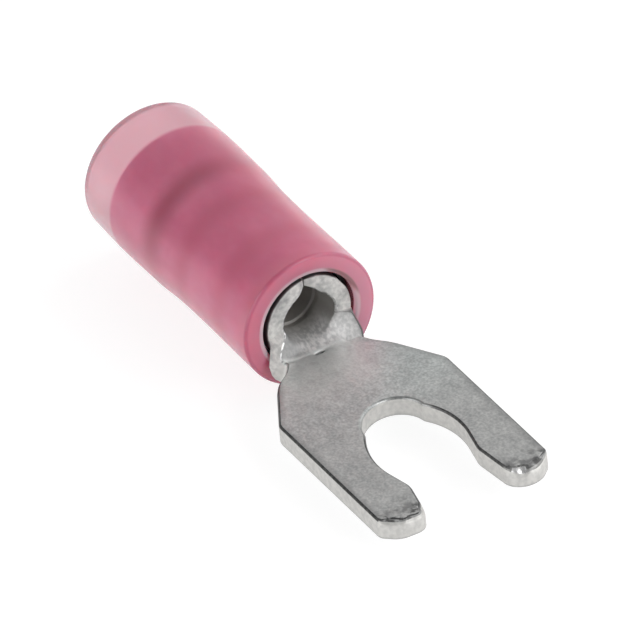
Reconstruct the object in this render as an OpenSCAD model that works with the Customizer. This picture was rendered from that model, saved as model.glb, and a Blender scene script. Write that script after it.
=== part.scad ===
// Insulated locking fork terminal for a 0.5 to 1.5 mm2 wire and an M3 stud, before crimping.
// A stamped fork with a rolled barrel, a metal support sleeve pressed over the barrel,
// and a nylon sleeve over both.
// X runs along the barrel from the wire end to the prong tips, Z is square to the fork,
// and the origin is the middle of the wire entry, on the barrel's axis.

/* [Insulating sleeve] */
// Length of the nylon sleeve
sleeve_len = 10.76; // [10.6:0.02:11.5]
// Outside diameter over the barrel
sleeve_od = 4.98; // [4.9:0.02:5.1]
// Outside diameter of the raised lip at the front
lip_od = 5.04; // [5.02:0.02:5.2]
// Outside diameter of the belled wire end
bell_od = 5.22; // [5.16:0.02:5.4]
// Outside diameter at the very end, where the bell draws in again
end_od = 5.08; // [4.9:0.02:5.14]
// Length of nylon behind the support sleeve
mouth_len = 1.65; // [1.4:0.05:2]

/* [Support sleeve] */
// Wall of the drawn metal tube
support_wall = 0.19; // [0.12:0.01:0.2]
// Outside diameter where it grips the insulation
support_bell_od = 4.26; // [4.1:0.02:4.3]
// Length of the wide part
support_bell_len = 2.5; // [2.2:0.1:2.9]
// Length of the cone between the wide and the narrow part
support_cone_len = 1.0; // [0.8:0.1:1.1]
// How far its front end stays behind the nylon's front face
support_recess = 0.6; // [0.5:0.05:1.5]

/* [Barrel] */
// Outside diameter of the rolled barrel
barrel_od = 3.36; // [3.3:0.02:3.4]
// Bore for the stripped conductor
barrel_bore = 1.94; // [1.8:0.02:2]
// Length of the barrel
barrel_len = 5.05; // [4.8:0.05:5.1]
// How far the barrel's mouth stays behind the nylon's front face
barrel_recess = 0.15; // [0.1:0.01:0.3]
// Gap left by the butted seam
seam_gap = 0.05; // [0.03:0.01:0.1]
// Number of serration grooves across the bore
groove_count = 3; // [2:1:4]

/* [Fork] */
// Thickness of the sheet
sheet_t = 0.74; // [0.7:0.01:0.8]
// Depth of the fork's upper face below the barrel's axis
fork_drop = 1.01; // [1.0:0.01:1.05]
// Width over both prongs
fork_w = 6.5; // [6.3:0.02:6.8]
// Distance from the nylon's front face to the shoulders
shoulder_dist = 3.26; // [3:0.02:3.5]
// Angle of the shoulders' taper towards the neck
shoulder_angle = 28.6; // [26:0.2:31]
// Distance from the nylon's front face to the prong tips
tip_dist = 10.27; // [10:0.01:10.6]
// Radius of the rounded prong tips
tip_r = 0.8; // [0.75:0.01:0.85]
// Straight outer edge that ends this far before the tip
corner_back = 0.51; // [0.5:0.01:0.6]

/* [Slot] */
// Diameter of the rounded throat
throat_d = 2.4; // [2.2:0.02:2.6]
// Distance from the nylon's front face to the bottom of the throat
throat_dist = 4.15; // [4:0.01:4.3]
// Widest part of the slot, where the stud sits
seat_w = 3.38; // [3.2:0.01:3.5]
// Radius of the seat's bowed sides
seat_r = 3; // [2.8:0.1:3.4]
// Gap between the two pinch noses
pinch_w = 2.87; // [2.7:0.01:2.95]
// Distance from the nylon's front face to the pinch
pinch_dist = 8.5; // [8.4:0.01:8.6]
// Radius of the pinch noses
nose_r = 1; // [0.8:0.05:1.2]
// Slope from the seat to a nose, and from a nose out to the mouth
nose_angle_in = 12; // [11:0.5:13]
nose_angle_out = 9.4; // [8:0.2:11]

/* [Hidden] */
$fn = 96;
eps = 0.01;

nylon_pink = [0.85, 0.42, 0.52, 0.6];
tin_grey = [0.68, 0.68, 0.66];
tin_bright = [0.78, 0.78, 0.76];

// Radii of the nylon and metal sleeves
sleeve_r = sleeve_od / 2;
bell_r = bell_od / 2;
support_bell_r = support_bell_od / 2;
support_tube_r = barrel_od / 2 + support_wall;
entry_r = support_bell_r - support_wall;
edge_r = 0.12;
lip_len = 0.5;
bell_taper_len = 1.6;
ramp_delay = 0.3;
rim_bevel = 0.08;

// Stations along the axis
support_back = mouth_len;
cone_back = support_back + support_bell_len;
cone_front = cone_back + support_cone_len;
support_front = sleeve_len - support_recess;
barrel_front = sleeve_len - barrel_recess;
barrel_back = barrel_front - barrel_len;

// Neck: the sheet opens from the barrel to the flat fork in this stretch,
// and its solid starts a little way inside the barrel
neck_gap = 0.05;
neck_len = 1.25;
neck_root = -0.5;
neck_step = 0.2;
flare = [[-0.25, 0], [0.25, 0.5], [1.05, 1.06]];
flare_r = 2.12;
wing_slope = 43.5;
wing_peak = 0.62;
wing_back = [-0.1, -0.3];
wing_rake = 62;
trough_len = 0.35;

// Waist notches: cones, because the sheet's cut edge leans outwards where the sheet curls up
waist_x = 0.48;
waist_y = 2.46;
waist_r = 0.95;
waist_lean = 0.313;
wing_end = [[-1, 0], [-1, 3], [-0.1, 3], [0.12, 1.95], [0.42, 1.52], [0.42, 0]];

// Places of the tangent arcs of a prong, measured from the nylon's front face
seat_y = seat_w / 2 - seat_r;
nose_y = pinch_w / 2 + nose_r;
nose_in = [pinch_dist - nose_r * sin(nose_angle_in), nose_y - nose_r * cos(nose_angle_in)];
nose_out = [pinch_dist + nose_r * sin(nose_angle_out), nose_y - nose_r * cos(nose_angle_out)];
seat_end_y = seat_y + seat_r * cos(nose_angle_in);
seat_end = [nose_in[0] - (seat_end_y - nose_in[1]) / tan(nose_angle_in), seat_end_y];
seat_x = seat_end[0] - seat_r * sin(nose_angle_in);
throat_x = throat_dist + throat_d / 2;
tip_x = tip_dist - tip_r;
tip_in_x = tip_x + tip_r * sin(nose_angle_out);
tip_in = [tip_in_x, nose_out[1] + (tip_in_x - nose_out[0]) * tan(nose_angle_out)];
tip_y = tip_in[1] + tip_r * cos(nose_angle_out);
corner = [tip_dist - corner_back, fork_w / 2];

// The point where a line from p touches the circle round c, on its left
function touch(p, c, r) =
    let (d = norm(p - c), a = atan2(p[1] - c[1], p[0] - c[0]) - acos(r / d))
    c + r * [cos(a), sin(a)];

// Half width of the shoulder taper, x from the nylon's front face
function taper_y(x) = fork_w / 2 - (shoulder_dist - x) * tan(shoulder_angle);

// A solid of revolution about the barrel's axis, from [x, radius] points
module turned(points) {
    rotate([0, 90, 0]) rotate_extrude() polygon([for (p = points) [p[1], p[0]]]);
}

// A round bar along the barrel's axis
module bar(r, x0, x1) {
    translate([x0, 0, 0]) rotate([0, 90, 0]) cylinder(r = r, h = x1 - x0);
}

module both_sides() {
    children();
    mirror([0, 1, 0]) children();
}

// One prong's share of the fork with its rounded tip, before the slot is cut
module fork_half_outline() {
    tip_touch = touch(corner, [tip_x, tip_y], tip_r);
    polygon([
        [neck_gap, 0], [neck_gap, taper_y(neck_gap)], [shoulder_dist, fork_w / 2],
        corner, tip_touch, [tip_x, tip_y], tip_in, [tip_x, 0]
    ]);
    translate([tip_x, tip_y]) circle(r = tip_r);
}

// The slot: throat, bowed seat, and the mouth between the two pinch noses
module slot_outline() {
    translate([throat_x, 0]) circle(d = throat_d);
    intersection() {
        translate([seat_x, seat_y]) circle(r = seat_r);
        translate([seat_x, -seat_y]) circle(r = seat_r);
        translate([throat_x, -seat_w]) square([seat_end[0] - throat_x, 2 * seat_w]);
    }
    difference() {
        polygon([
            [seat_end[0] - eps, 0], [seat_end[0] - eps, seat_end[1]], seat_end, nose_in, nose_out,
            tip_in, [tip_dist + 1, tip_in[1]],
            [tip_dist + 1, -tip_in[1]], [tip_in[0], -tip_in[1]],
            [nose_out[0], -nose_out[1]], [nose_in[0], -nose_in[1]],
            [seat_end[0], -seat_end[1]], [seat_end[0] - eps, -seat_end[1]]
        ]);
        both_sides() translate([pinch_dist, nose_y]) circle(r = nose_r);
        both_sides() translate([tip_x, tip_y]) circle(r = tip_r);
    }
}

// The flat tongue, from the neck to the prong tips
module fork_plate() {
    translate([sleeve_len, 0, -fork_drop - sheet_t]) linear_extrude(sheet_t) difference() {
        both_sides() fork_half_outline();
        slot_outline();
    }
}

// The sheet opening out in front of the barrel, before its wings are trimmed
module flare_bell() {
    outer_r = barrel_od / 2;
    turned([
        [neck_root, 0], [neck_root, outer_r], [neck_gap, outer_r],
        [neck_gap + neck_step, flare_r],
        [flare[2][0], flare_r], [flare[2][0], 0]
    ]);
}

// The wings' cut edges: steep and square to the axis at the barrel, then facing up and out
module neck_flare() {
    under = fork_drop + sheet_t;
    wing_half = (under + wing_peak) / tan(wing_slope);
    wing_reach = (under + wing_back[1]) / tan(wing_rake);
    translate([sleeve_len, 0, 0]) {
        intersection() {
            flare_bell();
            translate([neck_root, 0, 0]) rotate([90, 0, 90]) linear_extrude(neck_len - neck_root)
                polygon([[0, wing_peak], [wing_half, -under], [-wing_half, -under]]);
        }
        intersection() {
            flare_bell();
            rotate([90, 0, 0]) linear_extrude(2 * barrel_od, center = true) polygon([
                [neck_root, wing_back[1]], wing_back, [wing_back[0] + wing_reach, -under],
                [neck_root, -under]
            ]);
        }
    }
}

// The hollow of the neck: round at the barrel, flat-bottomed towards the fork
module neck_hollow() {
    bore_r = barrel_bore / 2;
    span = 2 * fork_w;
    translate([sleeve_len, 0, 0]) intersection() {
        turned([
            [flare[0][0], 0], [flare[0][0], bore_r], [flare[1][0], bore_r + flare[1][1]],
            [flare[2][0] + eps, bore_r + flare[2][1]], [flare[2][0] + eps, 0]
        ]);
        translate([neck_root, -span / 2, -fork_drop]) cube([span, span, span]);
    }
}

// What the blank's waist leaves out at each side of the neck
module waist_cut() {
    low = fork_drop + sheet_t + eps;
    high = fork_drop / 2;
    translate([sleeve_len, 0, 0]) both_sides() difference() {
        translate([waist_x, waist_y, -low]) cylinder(
            r1 = waist_r + waist_lean * (fork_drop - low),
            r2 = waist_r + waist_lean * (fork_drop - high), h = low - high);
        translate([0, 0, -low - eps]) linear_extrude(low) polygon(wing_end);
    }
}

// Seam of the rolled barrel: a fine slit whose front end opens in a V
module seam() {
    notch_w = 0.34;
    notch_len = 0.3;
    notch_floor = 0.3;
    top = barrel_od;
    translate([barrel_back - eps, -seam_gap / 2, 0])
        cube([barrel_len + 2 * eps, seam_gap, top]);
    translate([0, 0, barrel_bore / 2 + notch_floor]) linear_extrude(top) polygon([
        [barrel_front + eps, notch_w / 2], [barrel_front + eps, -notch_w / 2],
        [barrel_front - notch_len, 0]
    ]);
}

// The sheet's ends stay straighter than its middle, so the bore rises to a ridge under the seam
module seam_ridge() {
    peak = 1.24;
    r = barrel_bore / 2;
    a = acos(r / peak);
    translate([barrel_back - eps, 0, 0]) rotate([90, 0, 90])
        linear_extrude(barrel_len + 2 * eps)
        polygon([[0, 0], [r * sin(a), r * cos(a)], [0, peak], [-r * sin(a), r * cos(a)]]);
}

// Grooves across the bore that bite into the strands
module serrations() {
    pitch = 1.1;
    groove_w = 0.28;
    groove_depth = 0.09;
    first = barrel_front - 1.45;
    for (i = [0 : groove_count - 1])
        bar(barrel_bore / 2 + groove_depth, first - i * pitch - groove_w, first - i * pitch);
}

module terminal() {
    color(tin_grey) difference() {
        union() {
            bar(barrel_od / 2, barrel_back, barrel_front);
            neck_flare();
            fork_plate();
        }
        bar(barrel_bore / 2, barrel_back - eps, sleeve_len + trough_len);
        neck_hollow();
        seam();
        seam_ridge();
        serrations();
        waist_cut();
    }
}

module support_sleeve() {
    inner_r = support_tube_r - support_wall;
    color(tin_bright) turned([
        [support_back, entry_r], [support_back, support_bell_r],
        [cone_back, support_bell_r], [cone_front, support_tube_r],
        [support_front, support_tube_r], [support_front, inner_r],
        [cone_front, inner_r], [cone_back, entry_r]
    ]);
}

module insulating_sleeve() {
    rounding = [0 : 15 : 90];
    color(nylon_pink) turned(concat(
        [[0, entry_r]],
        [for (a = rounding) [edge_r * (1 - cos(a)), end_od / 2 - edge_r * (1 - sin(a))]],
        [
            [bell_taper_len, bell_r], [cone_back + ramp_delay, bell_r],
            [cone_front + ramp_delay, sleeve_r], [sleeve_len - lip_len, sleeve_r]
        ],
        [for (a = rounding)
            [sleeve_len - edge_r * (1 - sin(a)), lip_od / 2 - edge_r * (1 - cos(a))]],
        [
            [sleeve_len, support_tube_r + rim_bevel], [sleeve_len - rim_bevel, support_tube_r],
            [cone_front, support_tube_r], [cone_back, support_bell_r],
            [support_back, support_bell_r], [support_back, entry_r]
        ]
    ));
}

terminal();
support_sleeve();
insulating_sleeve();
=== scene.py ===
# %% [markdown]
# # An insulated locking fork terminal
# The real object is a crimp terminal for a thin wire, 21 mm long. A fork and a barrel are
# stamped from one piece of tinned copper sheet, and the barrel is rolled up behind the fork.
# A thin metal tube sits round the barrel, and a translucent pink nylon sleeve covers both.
# This lesson builds the three pieces as they are made in the factory: the sleeves are turned
# from a profile, and the fork is cut flat, rounded at its edges and then rolled.

import math

import bmesh
import bpy
from mathutils import Matrix, Quaternion, Vector, noise


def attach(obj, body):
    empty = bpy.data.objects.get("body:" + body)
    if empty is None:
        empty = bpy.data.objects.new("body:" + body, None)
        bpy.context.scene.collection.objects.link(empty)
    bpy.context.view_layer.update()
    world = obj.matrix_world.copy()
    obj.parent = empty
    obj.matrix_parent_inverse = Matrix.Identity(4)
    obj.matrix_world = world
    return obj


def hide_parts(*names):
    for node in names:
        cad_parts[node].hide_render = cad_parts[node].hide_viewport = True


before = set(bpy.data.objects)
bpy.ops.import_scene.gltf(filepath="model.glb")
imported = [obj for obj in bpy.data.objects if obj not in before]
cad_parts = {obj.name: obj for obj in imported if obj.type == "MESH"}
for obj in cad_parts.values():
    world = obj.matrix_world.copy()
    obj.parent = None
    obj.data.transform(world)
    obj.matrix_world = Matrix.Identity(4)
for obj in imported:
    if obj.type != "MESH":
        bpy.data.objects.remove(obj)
scene = bpy.context.scene
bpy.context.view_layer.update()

# %% [markdown]
# ## Sizes
# All drawing is done in millimetres and turned into metres at the last moment. X runs along
# the barrel. The nylon's front face is a handy place to measure the fork from, so it has a
# name of its own, and a length in front of it is written as FRONT plus a number. TUBE_OUT is
# the barrel's radius and the tube's wall. The fork's tips and a small dent behind the fork
# are needed by the finish and by the shape, so their middles are here too.

# %% Sizes of the real object, in millimetres
MM = 0.001
FRONT = 10.76
FORK_TOP = -1.01
SHEET = 0.74
SHEET_MIDDLE = FORK_TOP - SHEET / 2
BARREL_OUT = 1.68
BARREL_BORE = 0.97
BARREL_MIDDLE = (BARREL_OUT + BARREL_BORE) / 2
TUBE_OUT = BARREL_OUT + 0.19
TUBE_BELL = 2.13
TUBE_BACK, CONE_BACK, CONE_FRONT = 1.65, 4.15, 5.15
SHOULDER, SHOULDER_HALF, TAPER = 3.257, 3.25, math.tan(math.radians(28.6))
TIP_MIDDLE, TIP = Vector((9.47, 2.385)), 0.8
DENT_MIDDLE = Vector((0.56, -0.05))
print("the sheet's middle runs at", round(SHEET_MIDDLE, 3), "mm")

# %% [markdown]
# ## The camera
# The photograph looks down on the fork from in front and to the side, through a long lens.
# The camera is placed from its direction to the object, the point it looks at and its
# distance, and is then rolled a little about its own line of sight.

# %% The camera
AZIMUTH, ELEVATION, ROLL = (math.radians(a) for a in (62.6965, 36.3260, -5.6364))
LOOK_AT = Vector((FRONT + 0.1721, 0.2766, -0.0354)) * MM
DISTANCE = 601.606 * MM
FOCAL_PIXELS = 18000
IMAGE_PIXELS = 640

towards_camera = Vector((
    math.sin(AZIMUTH) * math.cos(ELEVATION),
    -math.cos(AZIMUTH) * math.cos(ELEVATION),
    math.sin(ELEVATION),
))
bpy.ops.object.camera_add(location=LOOK_AT + towards_camera * DISTANCE)
camera = bpy.context.object
camera.rotation_mode = "QUATERNION"
aim = (-towards_camera).to_track_quat("-Z", "Y")
camera.rotation_quaternion = aim @ Quaternion((0, 0, 1), ROLL)
camera.data.sensor_width = 36
camera.data.lens = FOCAL_PIXELS / IMAGE_PIXELS * camera.data.sensor_width
camera.data.clip_start = 0.05
camera.data.clip_end = 5
scene.camera = camera
print("lens:", round(camera.data.lens, 1), "mm at", round(DISTANCE, 3), "m")

# %% [markdown]
# ## Helpers for modelling as by hand
# Every operator works on what is selected. These helpers deselect everything, and then select
# points, edges or faces by their place, which takes the part of the mouse.

# %% Selecting by place
def blend(value, low, high):
    """A smooth rise from 0 at low to 1 at high."""
    t = min(max((value - low) / (high - low), 0.0), 1.0)
    return t * t * (3 - 2 * t)


def only(piece):
    """Select one object and make it the active one."""
    if bpy.context.mode != "OBJECT":
        bpy.ops.object.mode_set(mode="OBJECT")
    bpy.ops.object.select_all(action="DESELECT")
    piece.select_set(True)
    bpy.context.view_layer.objects.active = piece


def edit(piece):
    only(piece)
    bpy.ops.object.mode_set(mode="EDIT")


def pick(kind, wanted):
    """In edit mode, select the vertices, edges or faces for which wanted() is true."""
    bpy.ops.mesh.select_all(action="DESELECT")
    bpy.ops.mesh.select_mode(type=kind)
    shape = bmesh.from_edit_mesh(bpy.context.object.data)
    parts = {"VERT": shape.verts, "EDGE": shape.edges, "FACE": shape.faces}[kind]
    chosen = [part for part in parts if wanted(part)]
    for part in chosen:
        part.select_set(True)
    shape.select_flush_mode()
    bmesh.update_edit_mesh(bpy.context.object.data)
    return len(chosen)


def place(part):
    """A vertex's place, or the middle of an edge or face, in millimetres."""
    if isinstance(part, bmesh.types.BMVert):
        return part.co / MM
    if isinstance(part, bmesh.types.BMEdge):
        return (part.verts[0].co + part.verts[1].co) / 2 / MM
    return part.calc_center_median() / MM

# %% [markdown]
# A pen starts a sketch as a single point and draws with it, by extruding it along lines and
# spinning it along arcs. Its check() compares where the last point is with where it should be.

# %% Sketching with a pen
class Pen:
    """Draws an outline of edges: lines by extruding a point, arcs by spinning it."""

    def __init__(self, name, start, axis=(0, 0, 1)):
        bpy.ops.object.select_all(action="DESELECT")
        bpy.ops.mesh.primitive_plane_add(size=MM, location=(0, 0, 0))
        bpy.context.object.name = name
        self.piece, self.axis = bpy.context.object, axis
        bpy.ops.object.mode_set(mode="EDIT")
        bpy.ops.mesh.select_all(action="SELECT")
        bpy.ops.mesh.merge(type="CENTER")
        bpy.ops.mesh.select_mode(type="VERT")
        self.at = Vector(start)
        bpy.ops.transform.translate(value=self.at * MM)

    def line(self, *points):
        for point in points:
            step = Vector(point) - self.at
            bpy.ops.mesh.extrude_region_move(TRANSFORM_OT_translate={"value": step * MM})
            self.at = Vector(point)
        return self

    def arc(self, centre, degrees, steps):
        """Turn the last point about a centre; positive is anticlockwise round the axis."""
        turn = math.radians(degrees)
        bpy.ops.mesh.spin(
            steps=steps, angle=-turn, center=Vector(centre) * MM, axis=self.axis, dupli=False)
        spun = Matrix.Rotation(turn, 3, Vector(self.axis))
        self.at = Vector(centre) + spun @ (self.at - Vector(centre))
        return self

    def check(self, name):
        shape = bmesh.from_edit_mesh(self.piece.data)
        end = next(v for v in shape.verts if v.select)
        miss = (end.co / MM - self.at).length
        print(name, "has", len(shape.verts), "points; the pen is off by", round(miss, 5), "mm")

# %% [markdown]
# What is left is joining points that lie on each other, applying a modifier and smoothing.

# %% Joining, modifying and smoothing
SAME_PLACE = 0.0005


def join_doubles():
    bpy.ops.mesh.select_all(action="SELECT")
    bpy.ops.mesh.remove_doubles(threshold=SAME_PLACE * MM)


def apply_modifier(piece, kind, **settings):
    only(piece)
    bpy.ops.object.modifier_add(type=kind)
    modifier = piece.modifiers[-1]
    for name, value in settings.items():
        setattr(modifier, name, value)
    bpy.ops.object.modifier_apply(modifier=modifier.name)


def smooth(piece, degrees):
    only(piece)
    bpy.ops.object.shade_smooth_by_angle(angle=math.radians(degrees))
    print(piece.name, "has", len(piece.data.polygons), "faces")

# %% [markdown]
# ## Helpers for materials
# A shader is a sum of small steps. Signal wraps one socket, so that Python's own signs add
# the Math nodes, and its put() adds any other node.

# %% Shader maths
class Signal:
    """One socket of a node tree, with Python's operators for Math nodes."""

    def __init__(self, tree, socket):
        self.tree, self.socket = tree, socket

    def put(self, kind, settings=None, sockets=None, out=0):
        """Add a node: its settings first, then the values or links of its sockets."""
        node = self.tree.nodes.new(kind)
        for name, value in (settings or {}).items():
            setattr(node, name, value)
        for name, value in (sockets or {}).items():
            if isinstance(value, Signal):
                self.tree.links.new(value.socket, node.inputs[name])
            else:
                node.inputs[name].default_value = value
        return Signal(self.tree, node.outputs[out])

    def maths(self, operation, *values):
        return self.put("ShaderNodeMath", {"operation": operation}, dict(enumerate(values)))

    def __add__(self, other):
        return self.maths("ADD", self, other)

    def __sub__(self, other):
        return self.maths("SUBTRACT", self, other)

    def __rsub__(self, other):
        return self.maths("SUBTRACT", other, self)

    def __mul__(self, other):
        return self.maths("MULTIPLY", self, other)

    def __truediv__(self, other):
        return self.maths("DIVIDE", self, other)

    def __rtruediv__(self, other):
        return self.maths("DIVIDE", other, self)

    __radd__ = __add__
    __rmul__ = __mul__

    def ease(self, low, high):
        """0 below low, 1 above high and a smooth rise between; low may be above high."""
        settings = {"interpolation_type": "SMOOTHSTEP"}
        sockets = {0: self, 1: low, 2: high, 3: 0.0, 4: 1.0}
        return self.put("ShaderNodeMapRange", settings, sockets)

    def tint(self, first, second):
        """Mix two colours by this signal."""
        sockets = {0: self, 6: first, 7: second}
        return self.put("ShaderNodeMix", {"data_type": "RGBA"}, sockets, out=2)

    def noise(self, size, detail=2.0, stretch=(1, 1, 1)):
        """Noise with lumps of about this size in millimetres; self is a vector signal."""
        scaled = self.put("ShaderNodeMapping", None, {0: self, 3: stretch})
        sockets = {"Vector": scaled, "Scale": 1 / (size * MM), "Detail": detail}
        return self.put("ShaderNodeTexNoise", None, sockets)


def new_material(name, bsdf_sockets):
    """A material with its Principled shader, and a Signal of the object's coordinates."""
    material = bpy.data.materials.new(name)
    material.use_nodes = True
    shader = material.node_tree.nodes["Principled BSDF"]
    for socket, value in bsdf_sockets.items():
        shader.inputs[socket].default_value = value
    start = Signal(material.node_tree, None)
    where = start.put("ShaderNodeTexCoord", out=3)
    return material, shader, where


def connect(shader, socket, signal):
    signal.tree.links.new(signal.socket, shader.inputs[socket])


def connect_bump(shader, height, strength, depth):
    """Bend the shading by a height signal that stands for up to depth millimetres."""
    sockets = {"Height": height, "Strength": strength, "Distance": depth * MM}
    connect(shader, "Normal", height.put("ShaderNodeBump", None, sockets))


def grey(level):
    return (level, level, level, 1)


def millimetres(where):
    """The three coordinates, each a signal in millimetres."""
    return [where.put("ShaderNodeSeparateXYZ", None, {0: where}, out=axis) / MM for axis in "XYZ"]


def off_axis(where):
    """The distance from the barrel's axis in millimetres."""
    across = where.put("ShaderNodeMapping", None, {0: where, 3: (0, 1, 1)})
    return across.put("ShaderNodeVectorMath", {"operation": "LENGTH"}, {0: across}, out="Value") / MM


def marked(where, name):
    """A number that is stored on the mesh's faces."""
    return where.put("ShaderNodeAttribute", {"attribute_name": name}, out=2)

# %% [markdown]
# ## Tinned copper
# The rolled sheet's faces are a matt middle grey with a fine mottle, and the cut edges are
# lighter and duller. Numbers marked on the mesh tell apart the cut edges, the rounded rims with
# their painted dark reflection and the burr's painted highlight. The patterns come first: a
# mottle, clouds, a fine grain and pits. The neck and the barrel are worked by the press, and a
# signal tells them from the flat fork.

# %% Places and patterns on the tin
tin, tin_shader, where = new_material("tinned_copper", {})
x, y, z = millimetres(where)
x = x - FRONT
off_middle = y.maths("ABSOLUTE", y)
worked = x.ease(0.45, 0.3)
at_tips = x.ease(9.5, 9.8)
cut = marked(where, "cut_edge")
mottle = where.noise(0.16, 4.0).ease(0.3, 0.7)
clouds = where.noise(0.9, 2.0).ease(0.35, 0.65)
fine = where.noise(0.09, 2.0).ease(0.32, 0.68)
pits = where.noise(0.32, 2.0).ease(0.5, 0.75)
print("material:", tin.name)

# %% [markdown]
# The flat faces are lightest beside the sleeve and darker towards the tips. Painted shade darkens
# them along their borders, where the punch drags the edge down, and they darken where the tips are
# scuffed. Painted shade fills the chips at the tips.

# %% The fork's flat faces
mixed = mottle * 0.35 + clouds * 0.2 + fine * 0.45
near_neck = mixed.tint((0.4, 0.44, 0.43, 1), (0.85, 0.895, 0.88, 1))
near_tips = mixed.tint((0.38, 0.385, 0.385, 1), (0.67, 0.67, 0.655, 1))
by_sleeve = x.ease(4.2, 1.5)
near_bore = x.ease(1.9, 0.7) * off_middle.ease(1.6, 0.8)
face = x.ease(0.8, 6.5).tint(near_neck, near_tips)
face = (by_sleeve * y.ease(2.2, 0.6) * 0.5).tint(face, (0.84, 0.86, 0.83, 1))
face = (near_bore * 0.5).tint(face, (0.93, 0.94, 0.93, 1))
face = (by_sleeve * y.ease(0.8, 2.2) * 0.35).tint(face, grey(0.45))
face = (pits * 0.3).tint(face, grey(0.34))
# painted shade along the borders, where the punch drags the edge down
from_side = SHOULDER_HALF - off_middle
from_taper = (SHOULDER_HALF - (SHOULDER - x) * TAPER - off_middle) * 0.88
from_border = from_side.maths("MINIMUM", from_side, from_taper)
face = (from_border.ease(0.36, 0.05) * 0.4).tint(face, grey(0.25))
scuffed = x.ease(8.7, 9.8) * where.noise(0.4, 3.0).ease(0.46, 0.64)
face = (scuffed * 0.75).tint(face, grey(0.2))
# chips near the tips, with their shade painted in nearly black
past, beyond = x - TIP_MIDDLE.x, off_middle - TIP_MIDDLE.y
chip_shade = x.ease(9.45, 9.8) * (past * past + beyond * beyond).ease(0.14, 0.38)
chip_shade = chip_shade * where.noise(0.26, 2.0).ease(0.46, 0.6)
face = (chip_shade * 0.85).tint(face, grey(0.07))
print("nodes with the flat faces:", len(tin.node_tree.nodes))

# %% [markdown]
# The neck is a trough. Painted shade darkens its near side, its far side and far wall, and the
# bore behind it darker still. A small dent marks where the trough meets the flat fork, and its
# shadow is painted nearly black.

# %% The worked trough
flecks = where.noise(0.13, 4.0, (0.6, 1, 1)).ease(0.36, 0.64)
trough = flecks.tint(grey(0.52), (0.8, 0.79, 0.78, 1))
# painted shade on the near side, the far side and the far wall
trough = (y.ease(-0.1, -0.8) * 0.8).tint(trough, grey(0.26))
trough = (y.ease(0.3, 1.1) * 0.5).tint(trough, grey(0.4))
far_wall_shade = x.ease(-0.05, -0.25) * y.ease(0.3, 0.8) * z.ease(-0.75, -0.3)
trough = far_wall_shade.tint(trough, (0.27, 0.26, 0.245, 1))
# painted shade deeper in the bore
trough = x.ease(-0.2, -1.5).tint(trough, (0.4, 0.385, 0.365, 1))
face = worked.tint(face, trough)
# painted shadow in the dent
across, beside = (x - DENT_MIDDLE.x) / 0.08, (y - DENT_MIDDLE.y) / 0.24
dent_shadow = (across * across + beside * beside).ease(1.0, 0.3)
face = (dent_shadow * 0.95).tint(face, grey(0.06))
print("nodes with the trough:", len(tin.node_tree.nodes))

# %% [markdown]
# The cut edges darken at their lower rim. The upper rim gets a painted dark reflection that is
# nearly black, but it is broken up at the tips and weaker round the throat. The burr gets a
# painted highlight and is shiny, and the barrel's outside gets painted shade, nearly black,
# where it sits in the nylon's opening. At the end all of it is connected.

# %% Edges, rims and burr
edge = mottle.tint((0.52, 0.515, 0.5, 1), (0.63, 0.62, 0.6, 1))
worked_edge = (mottle * 0.5 + clouds * 0.5).tint(grey(0.36), (0.74, 0.73, 0.71, 1))
edge = worked.tint(edge, worked_edge)
edge = (z.ease(-1.66, -1.74) * 0.5).tint(edge, grey(0.2))
at_throat = x.ease(5.7, 5.2) * off_middle.ease(1.7, 1.2)
patches = 1 - at_tips * where.noise(0.4, 1.0).ease(0.42, 0.58) * 0.5
# painted dark reflection on the rounded upper rims
rim = marked(where, "dark_rim_reflection") * (1 - at_throat * 0.5) * patches
broken = where.noise(0.22, 1.0).ease(0.42, 0.56)
# painted highlight on the burr and on one spot of the far tip
burr_highlight = marked(where, "burr_highlight") * broken.maths("MAXIMUM", broken, at_tips)
# painted shade on the barrel's outside where it sits in the nylon's opening
gap_shade = x.ease(-0.12, -0.28) * off_axis(where).ease(1.4, 1.46) * (1 - cut)
colour = rim.tint(cut.tint(face, edge), mottle.tint(grey(0.06), grey(0.12)))
colour = (burr_highlight * 0.8).tint(colour, grey(0.95))
gloss = rim * (0.1 - at_tips * 0.4) + burr_highlight * 0.3
height = where.noise(0.12, 3.0) + where.noise(0.5, 1.0) * 0.8 + worked * flecks * 1.2
height = height + worked * cut * where.noise(0.35, 2.0) * 4
connect(tin_shader, "Base Color", gap_shade.tint(colour, grey(0.07)))
connect(tin_shader, "Metallic", 0.78 - worked * (1 - cut) * 0.4)
connect(tin_shader, "Roughness", 0.40 + cut * 0.14 + mottle * 0.06 + worked * 0.24 - gloss)
connect_bump(tin_shader, height, strength=0.15, depth=0.02)
print("nodes in the tin:", len(tin.node_tree.nodes))

# %% [markdown]
# The support tube is drawn through a ring, which leaves fine lines along it. It shows as a
# paler or darker grey through the nylon, and as bare metal where the wire goes in. Its front
# end is dark, because it lies deep in the shade of the nylon's opening.

# %% The tube's drawn tin
tube_tin, tube_shader, where = new_material("drawn_tin", {"Metallic": 0.8})
lines = where.noise(0.12, 3.0, (0.08, 1, 1)).ease(0.3, 0.7)
clouds = where.noise(0.8, 2.0).ease(0.35, 0.65)
tube_colour = (lines * 0.6 + clouds * 0.4).tint((0.5, 0.495, 0.48, 1), (0.68, 0.67, 0.65, 1))
at_front = millimetres(where)[0].ease(FRONT - 1.0, FRONT - 0.75)
connect(tube_shader, "Base Color", at_front.tint(tube_colour, grey(0.04)))
connect(tube_shader, "Roughness", 0.34 + lines * 0.1)
connect_bump(tube_shader, lines, strength=0.2, depth=0.01)
print("material:", tube_tin.name)

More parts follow.
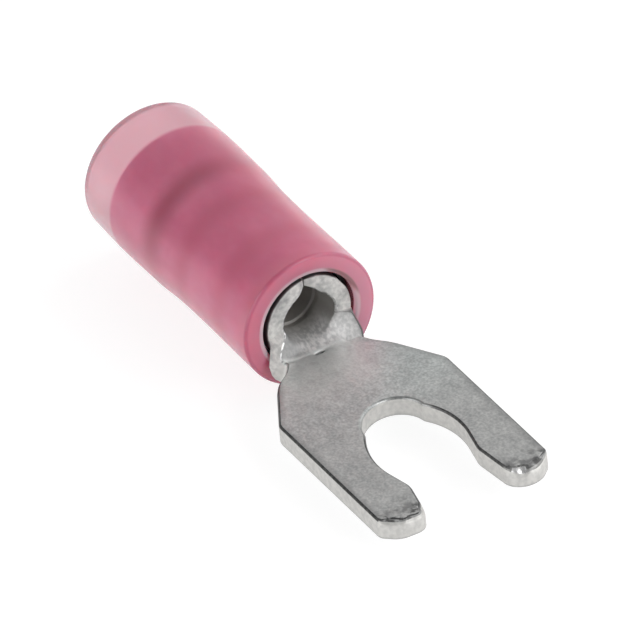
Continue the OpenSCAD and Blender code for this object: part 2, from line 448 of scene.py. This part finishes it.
# %% [markdown]
# ## Nylon
# The sleeve lets some light through, so the metal tube shows as a darker, blurred shape
# inside it. Part of the light scatters in the nylon and gives it its milky pink. What shows
# through is also painted: where the tube ends the nylon is painted paler, where the tube steps
# down it is painted darker, and two fainter dark bands are painted further forward. The side
# away from the lamps and the far side get painted shade, and the lip's face a painted highlight
# on its far side.

# %% The sleeve's nylon
nylon, nylon_shader, where = new_material("pink_nylon", {
    "Roughness": 0.24,
    "IOR": 1.5,
    "Subsurface Weight": 1.0,
    "Subsurface Radius": (1.0, 0.35, 0.4),
    "Subsurface Scale": 0.5 * MM,
    "Transmission Weight": 0.52,
})
OPEN_END = (0.91, 0.55, 0.625, 1)
LIP_FACE, LIP_LIT = (0.88, 0.31, 0.44, 1), (0.96, 0.45, 0.59, 1)
along, y, z = millimetres(where)
radius = off_axis(where)
towards_light = (z * 0.77 - y * 0.64) / 2.6


def band(middle, half):
    """A soft ring round the sleeve: 1 at its middle, 0 half a width away."""
    return along.ease(middle - half, middle) * along.ease(middle + half, middle)


cloudy = where.noise(1.6, 3.0, (0.6, 1, 1)).ease(0.32, 0.68)
rose = cloudy.tint((0.82, 0.245, 0.4, 1), (0.94, 0.32, 0.49, 1))
# painted dark bands where the tube shows through
rose = (band(6.4, 0.8) * 0.62 + band(8.9, 0.8) * 0.45).tint(rose, (0.72, 0.19, 0.31, 1))
# painted shade where the tube steps down
step_band = band(4.5, 0.9) * (towards_light.ease(0.3, 1.0) * 0.55 + 0.35)
rose = step_band.tint(rose, (0.56, 0.15, 0.235, 1))
# painted shade on the side away from the lamps and on the far side
rose = (towards_light.ease(0.8, 0.2) * 0.5).tint(rose, (0.83, 0.275, 0.345, 1))
rose = (y.ease(1.2, 2.2) * 0.45).tint(rose, (0.76, 0.26, 0.36, 1))
# painted paler where the tube ends and light comes through
rose = along.ease(TUBE_BACK + 0.35, TUBE_BACK + 0.1).tint(rose, OPEN_END)
# the lip's face, painted lighter on its lit far side
rose = along.ease(FRONT - 0.9, FRONT).tint(rose, y.ease(-0.5, 2.2).tint(LIP_FACE, LIP_LIT))
print("material:", nylon.name)

# %% [markdown]
# The front lip has a thin painted dark line round its outer corner and a painted highlight round
# its inner corner, which turns to painted shade on the shaded far side. Just inside the opening
# painted shade makes it nearly black.

# %% The nylon's front lip
# painted dark line round the outer corner
outer_lip = along.ease(FRONT - 0.16, FRONT - 0.06) * radius.ease(2.38, 2.46)
rose = (outer_lip * 0.7).tint(rose, (0.6, 0.16, 0.28, 1))
# painted highlight round the inner corner
inner_lip = along.ease(FRONT - 0.2, FRONT - 0.08) * radius.ease(2.0, 1.92)
rose = (inner_lip * 0.8).tint(rose, (1, 0.75, 0.8, 1))
# painted shade on that corner's far side
in_shade = ((y * 0.78 + z * 0.62) / 1.85).ease(0.86, 0.98)
rose = (inner_lip * in_shade * 0.8).tint(rose, (0.3, 0.16, 0.17, 1))
# painted shade just inside the opening
inside = along.ease(FRONT - 0.8, FRONT - 0.7) * along.ease(FRONT - 0.13, FRONT - 0.2)
rose = (inside * radius.ease(1.89, 1.84)).tint(rose, (0.09, 0.03, 0.035, 1))
connect(nylon_shader, "Base Color", rose)
print("nodes in the nylon:", len(nylon.node_tree.nodes))

# %% [markdown]
# ## The nylon sleeve
# On the real terminal this is a moulded tube, belled at the wire end, with a small inward lip
# in front. A tube is a closed profile turned about its axis, so the profile is drawn with the
# pen and then spun. Its outer line follows the metal under it: wide over the bell, then a
# cone, then nearly straight.

# %% Drawing and spinning the nylon
def turn(pen, name, steps):
    """Close the profile, spin it once round the barrel's axis and point its faces outwards."""
    bpy.ops.mesh.select_all(action="SELECT")
    bpy.ops.mesh.spin(steps=steps, angle=math.tau, center=(0, 0, 0), axis=(1, 0, 0), dupli=False)
    join_doubles()
    bpy.ops.mesh.normals_make_consistent(inside=False)
    bpy.ops.object.mode_set(mode="OBJECT")
    smooth(pen.piece, 35)
    return pen.piece


RIM = 0.12
LIP_OUT = 2.52
SLEEVE_OUT = 2.49
BELL_OUT = 2.61
END_OUT = 2.55
ENTRY = 1.94
GAP = 0.01
INNER_LIP, MOUTH = 0.1, 1.79

pen = Pen("nylon_sleeve", (0.05, 0, ENTRY), axis=(0, 1, 0))
pen.line((0, 0, ENTRY + 0.05), (0, 0, END_OUT - RIM))
pen.arc((RIM, 0, END_OUT - RIM), 90, 6)
pen.line((0.5, 0, 2.565), (1.0, 0, 2.585), (1.6, 0, 2.605), (2.1, 0, BELL_OUT), (2.6, 0, BELL_OUT))
pen.line((3.2, 0, 2.6), (3.9, 0, 2.588), (4.35, 0, 2.582), (4.75, 0, 2.555), (5.2, 0, 2.525))
pen.line((5.6, 0, 2.508), (6.2, 0, 2.495), (7.3, 0, SLEEVE_OUT), (8.2, 0, 2.5), (9.1, 0, 2.512))
pen.line((9.8, 0, LIP_OUT), (FRONT - RIM, 0, LIP_OUT))
pen.arc((FRONT - RIM, 0, LIP_OUT - RIM), 90, 6)
pen.line((FRONT, 0, MOUTH + INNER_LIP))
pen.arc((FRONT - INNER_LIP, 0, MOUTH + INNER_LIP), 90, 5)
pen.line((FRONT - 0.5, 0, MOUTH), (FRONT - 0.55, 0, TUBE_OUT + GAP))
pen.line((CONE_FRONT, 0, TUBE_OUT + GAP), (CONE_BACK, 0, TUBE_BELL + GAP))
pen.line((TUBE_BACK - GAP, 0, TUBE_BELL + GAP), (TUBE_BACK - GAP, 0, ENTRY), (0.05, 0, ENTRY))
pen.check("nylon profile")
nylon_sleeve = turn(pen, "nylon_sleeve", 128)
nylon_sleeve.data.materials.append(nylon)

# %% [markdown]
# ## The support tube
# A thin drawn tube: wide where it grips the wire's insulation, narrow round the barrel.

# %% Drawing and spinning the tube
TUBE_FRONT = FRONT - 0.6
pen = Pen("support_tube", (TUBE_BACK, 0, ENTRY), axis=(0, 1, 0))
pen.line((TUBE_BACK, 0, TUBE_BELL), (CONE_BACK - 0.05, 0, TUBE_BELL), (CONE_BACK + 0.05, 0, 2.118))
pen.line((CONE_FRONT - 0.05, 0, TUBE_OUT + 0.008), (CONE_FRONT + 0.05, 0, TUBE_OUT))
pen.line((TUBE_FRONT, 0, TUBE_OUT), (TUBE_FRONT, 0, BARREL_OUT + GAP))
pen.line((CONE_FRONT, 0, BARREL_OUT + GAP), (CONE_BACK, 0, ENTRY), (TUBE_BACK, 0, ENTRY))
pen.check("tube profile")
support_tube = turn(pen, "support_tube", 128)
support_tube.data.materials.append(tube_tin)

# %% [markdown]
# ## The fork, flat
# The real fork is punched from flat sheet, and its barrel is a flat flap at that stage. The
# flap and the neck are rows of points, extruded and narrowed row by row, because they will
# be rolled. The fork's outline is drawn with the pen, on one side, and mirrored.

# %% The rows of the flap and the neck
SEAM_GAP = 0.05
FLAP = math.pi * BARREL_MIDDLE - SEAM_GAP / 2
NECK_BACK = -0.15
NECK_HALF = 1.85
ROOT = 1.65
NECK_ROWS = (
    (-0.12, 1.83), (-0.09, 1.81), (-0.05, 1.79), (0.0, 1.77), (0.1, 1.74), (0.2, 1.7), (0.3, 1.66),
    (0.38, 1.635), (0.42, 1.625), (0.46, 1.615), (0.5, 1.605), (0.54, 1.6), (0.58, 1.605),
    (0.64, 1.63), (0.7, 1.66), (0.8, 1.73), (0.9, 1.8), (1.0, 1.875), (1.1, 1.95), (1.2, 2.04),
    (1.3, 2.13), (1.4, 2.21), (1.52, 2.285),
)
BARREL_ROWS = (-0.2, -0.3, -0.45, -0.8, -1.2, -1.24, -1.48, -1.52, -2.5, -2.54, -2.78, -2.82,
               -3.6, -3.64, -3.88, -3.92, -4.6, -5.0, -5.2)


def taper_half(x):
    return SHOULDER_HALF - (SHOULDER - x) * TAPER


print("the flap is", round(2 * FLAP, 2), "mm wide and the root", round(2 * taper_half(ROOT), 2), "mm")

# %% [markdown]
# The first row runs across the sheet, in three stretches: the two sides of the flap and the
# neck between them. The whole row is extruded backwards for the flap. Then only the neck's
# stretch is extruded forwards, and each row is scaled to its own width.

# %% Extruding the flap and the neck
TOUCHING = 1e-4


def extrude_along(distance):
    step = Vector((distance * MM, 0, 0))
    bpy.ops.mesh.extrude_region_move(TRANSFORM_OT_translate={"value": step})


def ends_at(edge, stop):
    return abs(max(vertex.co.y / MM for vertex in edge.verts) - stop) < TOUCHING


def in_neck_row(vertex):
    on_row = abs(place(vertex).x - FRONT - NECK_BACK) < TOUCHING
    return on_row and abs(place(vertex).y) < NECK_HALF + TOUCHING


pen = Pen("fork_and_barrel", (FRONT + NECK_BACK, -FLAP, FORK_TOP))
for stop, parts in ((-NECK_HALF, 16), (NECK_HALF, 37), (FLAP, 16)):
    pen.line((FRONT + NECK_BACK, stop, FORK_TOP))
    pick("EDGE", lambda edge: ends_at(edge, stop))
    bpy.ops.mesh.subdivide(number_cuts=parts - 1)
    pick("VERT", lambda vertex: abs(place(vertex).y - stop) < TOUCHING)
fork = pen.piece

row_x = NECK_BACK
pick("VERT", lambda vertex: True)
for x in BARREL_ROWS:
    extrude_along(x - row_x)
    row_x = x

row_x, row_half = NECK_BACK, NECK_HALF
pick("VERT", in_neck_row)
for x, half in (*NECK_ROWS, (ROOT, taper_half(ROOT))):
    extrude_along(x - row_x)
    narrow = (1, half / row_half, 1)
    bpy.ops.transform.resize(value=narrow, center_override=(0, 0, FORK_TOP * MM))
    row_x, row_half = x, half
bpy.ops.object.mode_set(mode="OBJECT")
print("flap and neck:", len(fork.data.vertices), "points,", len(fork.data.polygons), "faces")

# %% [markdown]
# The outline of one prong is four arcs and a few straight lines. The arcs meet the lines
# smoothly, so the points where they touch follow from the radii and the slopes.

# %% One side of the fork's outline
THROAT_MIDDLE, THROAT = Vector((5.35, 0)), 1.2
SEAT_MIDDLE, SEAT = Vector((6.9, -1.31)), 3.0
NOSE_MIDDLE, NOSE = Vector((8.5, 2.435)), 1.0
CORNER = Vector((9.76, SHOULDER_HALF))
SLOPE_IN, SLOPE_OUT = 12, 9.4


def on_circle(middle, radius, degrees):
    turned = math.radians(degrees)
    return middle + radius * Vector((math.cos(turned), math.sin(turned)))


def heading(middle, point):
    return math.degrees(math.atan2(point.y - middle.y, point.x - middle.x))


def crossing(a, ra, b, rb):
    """The upper point where two circles cross."""
    gap = b - a
    along = (ra ** 2 - rb ** 2 + gap.length_squared) / (2 * gap.length)
    side = math.sqrt(ra ** 2 - along ** 2)
    unit = gap.normalized()
    return a + unit * along + Vector((-unit.y, unit.x)) * side


def flat(point):
    return (FRONT + point.x, point.y, FORK_TOP)


corner_away = (CORNER - TIP_MIDDLE).length
tip_start = heading(TIP_MIDDLE, CORNER) - math.degrees(math.acos(TIP / corner_away))
kink = crossing(THROAT_MIDDLE, THROAT, SEAT_MIDDLE, SEAT)
pen = Pen("outline", (FRONT + ROOT, taper_half(ROOT), FORK_TOP))
pen.line((FRONT + SHOULDER, SHOULDER_HALF, FORK_TOP), flat(CORNER))
pen.line(flat(on_circle(TIP_MIDDLE, TIP, tip_start)))
pen.arc(flat(TIP_MIDDLE), -(tip_start + 90 - SLOPE_OUT), 18)
pen.line(flat(on_circle(NOSE_MIDDLE, NOSE, -90 + SLOPE_OUT)))
pen.arc(flat(NOSE_MIDDLE), -(SLOPE_OUT + SLOPE_IN), 6)
pen.line(flat(on_circle(SEAT_MIDDLE, SEAT, 90 - SLOPE_IN)))
pen.arc(flat(SEAT_MIDDLE), heading(SEAT_MIDDLE, kink) - 90 + SLOPE_IN, 16)
pen.arc(flat(THROAT_MIDDLE), 180 - heading(THROAT_MIDDLE, kink), 20)
pen.check("outline")
outline = pen.piece

# %% [markdown]
# The outline's corners are rounded a little. A copy scaled by -1 gives the other side, and one
# face fills the flat fork. Its normals are made to point up at the end.

# %% Rounding its corners, mirroring it and filling the fork
corners = (((SHOULDER, SHOULDER_HALF), 0.14), (CORNER, 0.14), (kink, 0.1))
for (x, y), rounding in corners:
    spot = Vector((FRONT + x, y, FORK_TOP))
    pick("VERT", lambda vertex: (place(vertex) - spot).length < 0.001)
    bpy.ops.mesh.bevel(offset=rounding * MM, segments=3, affect="VERTICES")
bpy.ops.mesh.select_all(action="SELECT")
bpy.ops.mesh.duplicate()
bpy.ops.transform.resize(value=(1, -1, 1), center_override=(0, 0, 0))
only(outline)
fork.select_set(True)
bpy.context.view_layer.objects.active = fork
bpy.ops.object.join()
edit(fork)
join_doubles()
pick("VERT", lambda v: place(v).x > FRONT + ROOT - 0.001)
bpy.ops.mesh.edge_face_add()
bpy.ops.mesh.select_all(action="SELECT")
bpy.ops.mesh.normals_make_consistent(inside=False)
if bmesh.from_edit_mesh(fork.data).faces[0].normal.z < 0:
    bpy.ops.mesh.flip_normals()
bpy.ops.object.mode_set(mode="OBJECT")
print("the fork's outline is filled:", len(fork.data.polygons), "faces")

# %% [markdown]
# On the photographed fork the slot leans a little and sits slightly to one side, as a punch
# leaves it. The far side is a touch wider, and the near tip is squarer than the other.

# %% Making it uneven
SLOT_SHIFT, SLOT_LEAN, TIP_SQUARE, FAR_SIDE = 0.05, 0.13, 0.2, 0.05
near_tip = Vector((TIP_MIDDLE.x, -TIP_MIDDLE.y))
for vertex in fork.data.vertices:
    x, y = vertex.co.x / MM - FRONT, vertex.co.y / MM
    beside_slot = 1 - blend(abs(y), 2.0, 2.6)
    share = beside_slot * blend(x, 3.8, 4.2) * (1 - blend(x, 9.2, 9.9))
    vertex.co += Vector((-SLOT_LEAN * y, SLOT_SHIFT, 0)) * share * MM
    vertex.co.y += FAR_SIDE * blend(y, 2.2, 3.1) * MM
    from_tip = Vector((x, y)) - near_tip
    if from_tip.x > 0 and from_tip.y > 0 and y < 0:
        square = TIP_SQUARE * math.sin(2 * math.atan2(from_tip.y, from_tip.x)) ** 2
        vertex.co += Vector((*from_tip, 0)) * square * MM
largest = max(fork.data.polygons, key=lambda face: face.area)
print("the fork's flat face has", len(largest.vertices), "corners, normal", tuple(largest.normal))

# %% [markdown]
# ## Thickness and edges
# Solidify gives the sheet its thickness downwards from its upper face. A punch rounds the
# edge it enters and leaves the far one nearly sharp, so the two rims get bevels of
# different widths, through bevel weights.

# %% Thickness and edges
RIM_WIDTH = 0.12


def faces_seen(edge):
    return sorted(face.normal.z for face in edge.link_faces)


def upper_rim(edge):
    low, *_, high = faces_seen(edge)
    return high > 0.9 and low < 0.5


def lower_rim(edge):
    low, *_, high = faces_seen(edge)
    return low < -0.9 and high > -0.5


apply_modifier(fork, "SOLIDIFY", thickness=SHEET * MM, offset=-1)
edit(fork)
for name, rim, weight in (("lower", lower_rim, 0.25), ("upper", upper_rim, 1.0)):
    count = pick("EDGE", rim)
    bpy.ops.transform.edge_bevelweight(value=weight)
    print(name, "rim:", count, "edges, bevel", round(weight * RIM_WIDTH, 3), "mm")
apply_modifier(fork, "BEVEL", width=RIM_WIDTH * MM, segments=5, limit_method="WEIGHT",
               use_clamp_overlap=False)
print("the flat blank has", len(fork.data.polygons), "faces")

# %% [markdown]
# The finish has to know which faces are which, and once the sheet is rolled its normals no
# longer tell. So each face of the flat blank stores three numbers now: how far it is cut edge,
# painted dark rim reflection and painted burr highlight. They follow from how far the face looks
# upwards, and from its place, because the near wing, the far wing and the tips look different in
# the photograph.

# %% Marking the faces
SIDEWAYS = 0.3
NECK_START, WING_END, TIPS_START = -0.1, 0.45, 9.7


def marks(x, y, upright):
    """How far a face is cut edge, painted dark rim and painted burr highlight; x is measured from
    FRONT.
    """
    far = y > 0
    cut = 1.0 if abs(upright) < SIDEWAYS else 0.0
    rim = blend(upright, 1.0, 0.9) if upright > SIDEWAYS else 0.0
    if far:
        shade = 1.0 if x > NECK_START else 0.6
    else:
        shade = 1.0 if x > WING_END else 0.0

    # the barrel's mouth, the near wing and one spot on the far tip get a painted highlight
    bright = 0.4 if x < NECK_START and 0.2 < upright < 0.95 else 0.0
    if not far and NECK_START < x < 0.42 and 0.4 < upright < 0.8:
        bright = 0.9
    if x > 9.95 and 1.55 < y < 2.2 and SIDEWAYS < upright < 0.8:
        bright = 1.0

    # the far wing's thin edge gets a painted dark reflection
    if far and -0.12 < x < 0.75:
        if cut:
            rim = 0.8
        elif upright > SIDEWAYS:
            rim = blend(upright, 0.8, 0.5)

    # the tips' rims are scuffed bare, so their painted dark reflection is weaker and the cut edge
    # shows, the near one more than the far one
    if x > TIPS_START and upright < 0.8:
        shade = 0.85 if far else 0.5
    if x > TIPS_START and SIDEWAYS < upright < 0.6:
        cut, shade = (0.4, 0.4) if far else (0.9, 0.1)
    return cut, rim * shade, bright


names = ("cut_edge", "dark_rim_reflection", "burr_highlight")
stores = [fork.data.attributes.new(name, "FLOAT", "FACE") for name in names]
cut_faces = 0
for face in fork.data.polygons:
    values = marks(face.center.x / MM - FRONT, face.center.y / MM, face.normal.z)
    for store, value in zip(stores, values):
        store.data[face.index].value = value
    cut_faces += values[0]
print("cut faces:", round(cut_faces, 1))

# %% [markdown]
# The upper rims of the tips are worn, and not evenly. Their points are pulled inwards and
# down by a noise, most at the rim's inner line.

# %% Worn tips
WEAR, WEAR_CHANGE = 0.14, 0.2
pulled = 0
for vertex in fork.data.vertices:
    x, y, z = vertex.co / MM
    drop = FORK_TOP - z
    if x > FRONT + 9.6 and drop < RIM_WIDTH + 0.005:
        out = Vector((x - FRONT, y)) - Vector((TIP_MIDDLE.x, math.copysign(TIP_MIDDLE.y, y)))
        ripple = noise.noise(Vector((x * 1.7, y * 2.2, 4.0)))
        worn = blend(x - FRONT, 9.6, 10.0) * (WEAR + WEAR_CHANGE * ripple)
        inward = worn * (1 - drop / RIM_WIDTH)
        downward = 0.9 * worn * drop / RIM_WIDTH
        vertex.co -= Vector((*(out.normalized() * inward), downward)) * MM
        pulled += 1
print("tip points pulled in:", pulled)

# %% [markdown]
# Three grooves across the bore hold the wire's strands. The rows at their edges were placed
# with the flap, so only the rows between them have to be pressed down.

# %% Grooves across the barrel
GROOVE_EDGES = (-1.24, -1.48, -2.54, -2.78, -3.64, -3.88)
GROOVE_DEPTH = 0.09


def in_groove(vertex):
    x, _, z = place(vertex)
    return abs(z - FORK_TOP) < 0.002 and any(abs(x - FRONT - edge) < 0.005 for edge in GROOVE_EDGES)


edit(fork)
count = pick("VERT", in_groove)
bpy.ops.transform.translate(value=(0, 0, -GROOVE_DEPTH * MM))
bpy.ops.object.mode_set(mode="OBJECT")
print("groove points:", count)

# %% [markdown]
# ## Rolling
# The press rolls the flap round a pin. Blender's bend tool needs a window and has one
# curvature only, so every point is moved in code: each cross-section is walked from its
# middle outwards, along a curve that is straight for the first stretch and then turns. In
# the barrel the whole section turns. In the neck the straight stretch grows to the fork. One
# table gives its length and one the radius of the turn, both by the place along the neck.

# %% How much each section turns
STRAIGHT = (
    (-0.1, 0.0), (0.0, 0.05), (0.1, 0.17), (0.2, 0.38), (0.36, 0.72), (0.6, 0.82), (0.85, 1.3),
    (1.1, 1.75), (1.7, 2.6),
)
BEND = (
    (-0.1, BARREL_MIDDLE), (0.0, 1.34), (0.1, 1.39), (0.2, 1.55), (0.36, 2.0), (0.6, 2.2), (1.7, 2.2),
)
SECTION_STEPS = 240
SECTION_STEP = FLAP / SECTION_STEPS


def follow(table, x):
    """Read a value off a table of (x, value) pairs, straight between its lines."""
    if x <= table[0][0]:
        return table[0][1]
    for (a, first), (b, last) in zip(table, table[1:]):
        if x <= b:
            return first + (last - first) * (x - a) / (b - a)
    return table[-1][1]


def turn_rate(x, s):
    """How much the sheet turns per millimetre, s millimetres from its middle."""
    straight, soft = follow(STRAIGHT, x), 0.03 + 0.3 * blend(x, 0.0, 0.6)
    share = blend(s, straight - soft, straight + soft) if x > -0.1 else 1
    return share / follow(BEND, x)


def walk(x):
    """Points along half a cross-section: width, height and direction at each step."""
    width, height, angle = 0.0, 0.0, 0.0
    points = [(width, height, angle)]
    for i in range(SECTION_STEPS):
        middle = angle + turn_rate(x, (i + 0.5) * SECTION_STEP) * SECTION_STEP / 2
        width += math.cos(middle) * SECTION_STEP
        height += math.sin(middle) * SECTION_STEP
        angle = 2 * middle - angle
        points.append((width, height, angle))
    return points


print("the barrel's section ends at", [round(value, 3) for value in walk(-1.0)[-1]])

# %% [markdown]
# The barrel's sheet lies a little higher than the fork's, by the table LIFT. While it is
# rolled, the sheet gets the photographed piece's small faults: the far wing's edge is pressed
# thin, there is a dent behind the fork, the waist is deeper on the near side, and the barrel's
# mouth steps back beside the seam.

# %% Rolling the barrel and the neck
LIFT = ((-0.15, 0.055), (0.42, 0.02), (0.46, 0.0))
PRESSED, THINNED = 0.9, 0.04
DENT_DEPTH, DENT_HALF_X, DENT_HALF_Y = 0.1, 0.09, 0.28
NOTCH, WAIST = 0.08, 0.18


def pressed_thin(x, y):
    """How far the far wing's edge is pressed from its inner side, from 0 to 1."""
    near_edge = blend(y, follow(NECK_ROWS, x) - 0.75, follow(NECK_ROWS, x) - 0.1)
    return PRESSED * near_edge * blend(x, -0.14, -0.02) * (1 - blend(x, 0.35, 0.65))


def rolled(x, y, z, points):
    """Where a point of the flat sheet goes; points are its section's."""
    spot = min(abs(y) / SECTION_STEP, len(points) - 1.001)
    i, part = int(spot), spot - int(spot)
    width, height, angle = (a + (b - a) * part for a, b in zip(points[i], points[i + 1]))
    h = (z - SHEET_MIDDLE) * (1 - THINNED * (1 - blend(x, -0.1, 0.4)))
    h -= (h + SHEET / 2) * pressed_thin(x, y)
    off_dent = math.hypot((x - DENT_MIDDLE.x) / DENT_HALF_X, (y - DENT_MIDDLE.y) / DENT_HALF_Y)
    h -= DENT_DEPTH * (1 - blend(off_dent, 0.0, 1.0)) * blend(h, 0, SHEET / 2)
    across = width - h * math.sin(angle)
    up = SHEET_MIDDLE + follow(LIFT, x) + height + h * math.cos(angle)
    return Vector((FRONT + x, math.copysign(1, y) * across, up))


sections = {}
for vertex in fork.data.vertices:
    x, y, z = vertex.co / MM
    x -= FRONT
    if x < ROOT:
        key = round(x, 4)
        if key not in sections:
            sections[key] = walk(x)
        back = NOTCH * blend(abs(y), FLAP - 0.3, FLAP) * blend(x, -0.7, -0.15)
        waist = blend(x, 0.3, 0.6) * (1 - blend(x, 0.85, 1.25))
        y += WAIST * waist * blend(-y, 0.9, 1.4)
        vertex.co = (rolled(x, y, z, sections[key]) - Vector((back, 0, 0))) * MM
fork.data.update()
lowest = min(v.co.z for v in fork.data.vertices) / MM
highest = max(v.co.z for v in fork.data.vertices) / MM
print("rolled:", len(sections), "sections, from", round(lowest, 3), "to", round(highest, 3), "mm high")

# %% [markdown]
# At the seam the two edges of the flap meet square, so the bore has a small pointed ridge
# there. Every point near the seam is moved along its own radius.

# %% The seam and the bore's ridge
RIDGE = 1.26
ridge_angle = math.acos(BARREL_BORE / RIDGE)
for vertex in fork.data.vertices:
    x, y, z = vertex.co / MM
    if x > FRONT - 0.14 or z < 0.3:
        continue
    radius, turned = math.hypot(y, z), abs(math.atan2(y, z))
    if turned < ridge_angle:
        bore = BARREL_BORE / math.cos(ridge_angle - turned)
        share = (BARREL_OUT - radius) / (BARREL_OUT - BARREL_BORE)
        grown = BARREL_OUT - share * (BARREL_OUT - bore)
        vertex.co.y, vertex.co.z = y * grown / radius * MM, z * grown / radius * MM
print("ridge angle:", round(math.degrees(ridge_angle), 1), "degrees")

# %% [markdown]
# The rolled edge of the photographed barrel isn't round at its mouth: the near half is pushed
# in a little and the bore is flattened beside the seam. Two tables give the outer radius and
# the bore's radius there, by the angle from the seam, and the change fades out further in.

# %% The barrel's mouth
MOUTH_OUT = (
    (-125, 1.68), (-84, 1.55), (-45, 1.51), (-23, 1.54), (0, 1.51), (21, 1.61), (67, 1.64), (91, 1.68),
)
MOUTH_BORE = (
    (-125, 0.97), (-97, 0.91), (-47, 0.86), (-28, 0.89), (-9, 0.98), (0, 1.25), (32, 0.97),
    (52, 0.97), (74, 1.04), (100, 1.06), (125, 0.97),
)
WIDEST, RIPPLE = 125, 0.03
moved = 0
for vertex in fork.data.vertices:
    x, y, z = vertex.co / MM
    radius, turned = math.hypot(y, z), math.degrees(math.atan2(y, z))
    if x > FRONT + 0.2 or x < FRONT - 1.8 or abs(turned) > WIDEST:
        continue
    bore = BARREL_BORE / math.cos(max(ridge_angle - math.radians(abs(turned)), 0))
    depth = min(max((BARREL_OUT - radius) / (BARREL_OUT - bore), 0), 1)
    wanted = follow(MOUTH_OUT, turned) * (1 - depth) + follow(MOUTH_BORE, turned) * depth
    ripple = noise.noise(Vector((turned / 9, 3.0 * round(depth), 1.0)))
    wanted += RIPPLE * ripple * blend(x, FRONT - 0.5, FRONT - 0.3)
    share = blend(x, FRONT - 1.8, FRONT - 0.6) * (1 - blend(x, FRONT - 0.13, FRONT + 0.2))
    grown = 1 + (wanted / radius - 1) * share
    vertex.co.y, vertex.co.z = vertex.co.y * grown, vertex.co.z * grown
    moved += 1
fork.data.update()
print("mouth points:", moved)

# %% [markdown]
# Weighted normals keep the broad faces flat in the light, and only the narrow rims look round.

# %% Smoothing the fork and giving it its tin
smooth(fork, 40)
apply_modifier(fork, "WEIGHTED_NORMAL", keep_sharp=True, weight=50)
fork.data.materials.append(tin)

# %% [markdown]
# ## Floor and light
# The terminal lies on its nylon sleeve: on the bell and on the front lip. The floor's plane
# passes through these two, so it slopes by less than a degree. Three soft boxes light it, one
# from each side and a small one from in front, which puts a little gleam on the tips. What the
# camera sees of the floor glows by itself, and its own colour still takes the shadow.

# %% Floor and light
FLOOR_OWN, FLOOR_LIFT = 0.3, 0.82
LAMP_DISTANCE = 0.5
touch_back, touch_front = Vector((2.6, 0, -BELL_OUT)), Vector((FRONT - 0.2, 0, -LIP_OUT))
slope = math.atan2(touch_front.z - touch_back.z, touch_front.x - touch_back.x)
bpy.ops.object.select_all(action="DESELECT")
bpy.ops.mesh.primitive_plane_add(size=2, location=touch_back * MM, rotation=(0, -slope, 0))
floor = bpy.context.object
floor.name = "floor"
floor_finish, floor_shader, start = new_material("pale_floor", {
    "Base Color": (0.9, 0.9, 0.9, 1), "Roughness": 1.0, "Specular IOR Level": 0.0,
    "Emission Strength": 1.0})
rays = [start.put("ShaderNodeLightPath", out=name) for name in ("Is Camera Ray", "Is Glossy Ray")]
seen = rays[0] + rays[1] + start.put("ShaderNodeLightPath", out="Is Transmission Ray")
connect(floor_shader, "Base Color", seen.tint(grey(0.9), grey(FLOOR_OWN)))
connect(floor_shader, "Emission Color", seen.tint(grey(0.0), grey(FLOOR_LIFT)))
floor.data.materials.append(floor_finish)


def soft_box(name, direction, size, power):
    """A square area lamp that looks at the terminal from half a metre away."""
    spot = LOOK_AT + Vector(direction).normalized() * LAMP_DISTANCE
    turn_to = (LOOK_AT - spot).to_track_quat("-Z", "Y").to_euler()
    bpy.ops.object.light_add(type="AREA", location=spot, rotation=turn_to)
    lamp = bpy.context.object
    lamp.name = name
    lamp.data.shape, lamp.data.size = "SQUARE", size
    lamp.data.energy = power
    print(name, "is", size, "m wide with", power, "W")


soft_box("left_box", (0.1, -1.0, 0.2), size=0.6, power=2.3)
soft_box("right_box", (0.1, 1.0, 0.5), size=0.55, power=1.4)
soft_box("front_box", (1.0, 0.5, 0.5), size=0.3, power=1.3)

# %% [markdown]
# The world is a tent with one brighter wall, behind the terminal. The fork's upper face mirrors
# that wall, so its level sets the grey of the tin. The tent's lower edge is as pale as the
# floor, so that no hard line shows in the nylon's gloss.

# %% The tent
TENT_DARK, TENT_WALL, TENT_SKIRT = 0.14, 0.56, 0.7
WALL_DIRECTION = (-0.716, 0.369, 0.592)
world = bpy.data.worlds.new("studio")
scene.world = world
world.use_nodes = True
sky = Signal(world.node_tree, None)
direction = sky.put("ShaderNodeTexCoord", out="Generated")
wall = direction.put("ShaderNodeVectorMath", {"operation": "DOT_PRODUCT"}, {
    0: direction, 1: WALL_DIRECTION}, out="Value")
height = direction.put("ShaderNodeSeparateXYZ", None, {0: direction}, out="Z")
tent = wall.ease(0.1, 0.9).tint(grey(TENT_DARK), grey(TENT_WALL))
tent = height.ease(0.3, 0.0).tint(tent, grey(TENT_SKIRT))
world.node_tree.links.new(tent.socket, world.node_tree.nodes["Background"].inputs["Color"])
world.node_tree.nodes["Background"].inputs["Strength"].default_value = 1.0
scene.view_settings.view_transform = "Standard"
print("floor slope:", round(math.degrees(slope), 2), "degrees")

# %% [markdown]
# ## Handing over
# Each piece rides on the one rigid body and replaces its CAD node.

# %% Handing over
for piece, node, finish in (
    (fork, "terminal", "tinned_fork"),
    (support_tube, "support_sleeve", "tinned_tube"),
    (nylon_sleeve, "insulating_sleeve", "pink_nylon"),
):
    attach(piece, "root")
    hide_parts(node)
